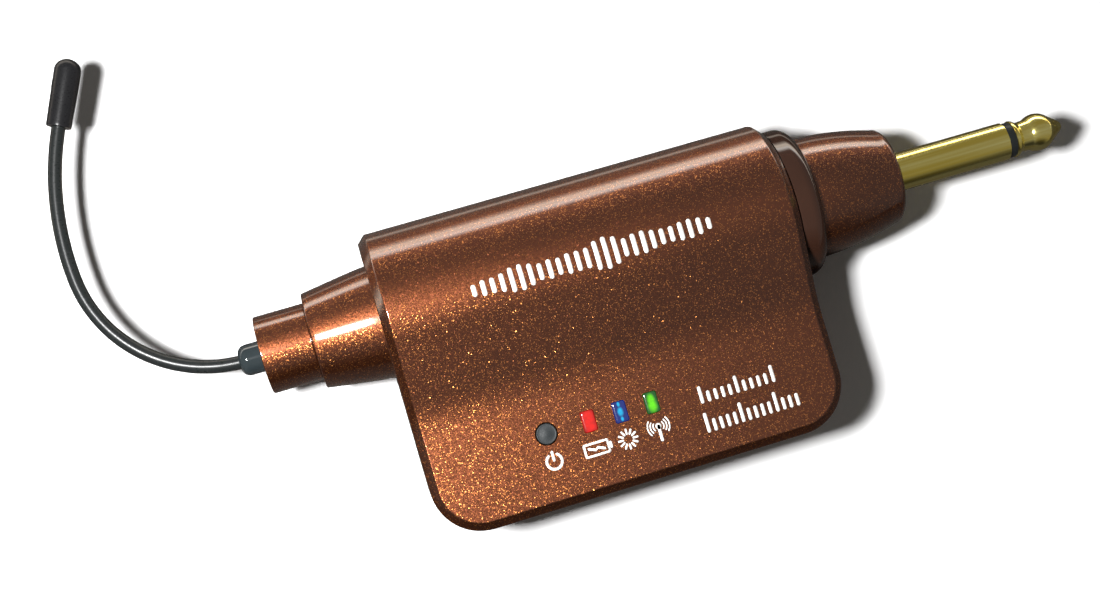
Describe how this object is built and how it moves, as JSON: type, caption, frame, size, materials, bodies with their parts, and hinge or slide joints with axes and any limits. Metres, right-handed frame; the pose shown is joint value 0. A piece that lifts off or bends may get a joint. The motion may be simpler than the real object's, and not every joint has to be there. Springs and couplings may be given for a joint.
{
  "type": "wireless guitar transmitter",
  "caption": "Plug-in wireless unit for a guitar: barrel-and-flag case with a jack plug at one end, a flexible whip antenna at the other, indicator lamps and a power button.",
  "frame": {"origin": "the root of the jack plug, on the plug's axis, where it leaves the nose", "axes": "+X along the plug to its tip, +Y from the flat flag up to the barrel, +Z out of the front face with the lamps"},
  "size_m": [0.1627, 0.0897, 0.0265],
  "materials": {
    "case_paint": "brown metallic paint with fine flake under clear coat",
    "gold_plate": "polished gold plate",
    "steel": "plain bright steel",
    "whip_rubber": "satin black sheath",
    "cap_vinyl": "satin black vinyl",
    "boot_gloss": "polished dark grey",
    "button_grey": "satin dark grey",
    "dark_plastic": "plain dark grey",
    "lamp_red": "clear tinted lens, lit",
    "lamp_blue": "clear tinted lens, lit",
    "lamp_green": "clear tinted lens, lit",
    "board_green": "solder mask over glass laminate",
    "chip_black": "moulded black",
    "chip_parts": "fired ceramic",
    "cell_foil": "foil pouch",
    "foam": "closed-cell foam",
    "lead_red": "wire insulation",
    "lead_black": "wire insulation",
    "white_nylon": "plain nylon"
  },
  "bodies": {
    "case": {"front_shell": "case_paint", "back_shell": "case_paint", "case_screws": "steel", "trim_ring": "case_paint", "nose_housing": "case_paint", "plug_sleeve": "gold_plate", "plug_retainer": "steel", "plug_insulator": "dark_plastic", "plug_tip": "gold_plate", "sleeve_tag": "gold_plate", "rear_washer": "white_nylon", "tip_tag": "gold_plate", "sleeve_lead": "lead_black", "tip_lead": "lead_red", "antenna_collar": "case_paint", "antenna_bush": "case_paint", "antenna_nut": "steel", "antenna_boot": "boot_gloss", "antenna_coax": "lead_black", "coax_connector": "gold_plate", "whip_root": "whip_rubber", "switch_body": "dark_plastic", "lamp_red": "lamp_red", "lamp_blue": "lamp_blue", "lamp_green": "lamp_green", "lamp_legs": "steel", "main_board": "board_green", "board_screws": "steel", "radio_shield": "steel", "processor_chip": "chip_black", "audio_chip": "chip_black", "charger_chip": "chip_black", "clock_crystal": "steel", "board_parts": "chip_parts", "charge_socket": "steel", "charge_tongue": "dark_plastic", "battery_cell": "cell_foil", "battery_pad": "foam", "battery_lead_red": "lead_red", "battery_lead_black": "lead_black", "battery_plug": "white_nylon"},
    "antenna_1": {"whip_link_1": "whip_rubber"},
    "antenna_2": {"whip_link_2": "whip_rubber"},
    "antenna_3": {"whip_link_3": "whip_rubber"},
    "antenna_4": {"whip_link_4": "whip_rubber"},
    "antenna_5": {"whip_link_5": "whip_rubber"},
    "antenna_6": {"whip_link_6": "whip_rubber"},
    "antenna_7": {"whip_link_7": "whip_rubber", "antenna_cap": "cap_vinyl"},
    "button": {"power_button": "button_grey", "switch_plunger": "dark_plastic"}
  },
  "joints": [
    {"name": "antenna_bend_1", "type": "hinge", "parent": "case", "child": "antenna_1", "pos_m": [-0.11059, 0.00008, 0], "axis": [0, 0, 1], "range_deg": [-12, 16]},
    {"name": "antenna_bend_2", "type": "hinge", "parent": "antenna_1", "child": "antenna_2", "pos_m": [-0.11787, 0.00203, 0], "axis": [0, 0, 1], "range_deg": [-12, 16]},
    {"name": "antenna_bend_3", "type": "hinge", "parent": "antenna_2", "child": "antenna_3", "pos_m": [-0.12404, 0.00636, 0], "axis": [0, 0, 1], "range_deg": [-12, 16]},
    {"name": "antenna_bend_4", "type": "hinge", "parent": "antenna_3", "child": "antenna_4", "pos_m": [-0.12837, 0.01253, 0], "axis": [0, 0, 1], "range_deg": [-12, 16]},
    {"name": "antenna_bend_5", "type": "hinge", "parent": "antenna_4", "child": "antenna_5", "pos_m": [-0.13032, 0.01981, 0], "axis": [0, 0, 1], "range_deg": [-12, 16]},
    {"name": "antenna_bend_6", "type": "hinge", "parent": "antenna_5", "child": "antenna_6", "pos_m": [-0.13034, 0.0279, 0], "axis": [0, 0, 1], "range_deg": [-12, 16]},
    {"name": "antenna_bend_7", "type": "hinge", "parent": "antenna_6", "child": "antenna_7", "pos_m": [-0.12901, 0.03588, 0], "axis": [0, 0, 1], "range_deg": [-12, 16]},
    {"name": "button_press", "type": "slide", "parent": "case", "child": "button", "axis": [0, 0, -1], "range_m": [0, 0.0003]}
  ],
  "couplings": [
    {"joint": "antenna_bend_2", "follows": "antenna_bend_1", "ratio": 1},
    {"joint": "antenna_bend_3", "follows": "antenna_bend_1", "ratio": 1},
    {"joint": "antenna_bend_4", "follows": "antenna_bend_1", "ratio": 1},
    {"joint": "antenna_bend_5", "follows": "antenna_bend_1", "ratio": 1},
    {"joint": "antenna_bend_6", "follows": "antenna_bend_1", "ratio": 1},
    {"joint": "antenna_bend_7", "follows": "antenna_bend_1", "ratio": 1}
  ]
}
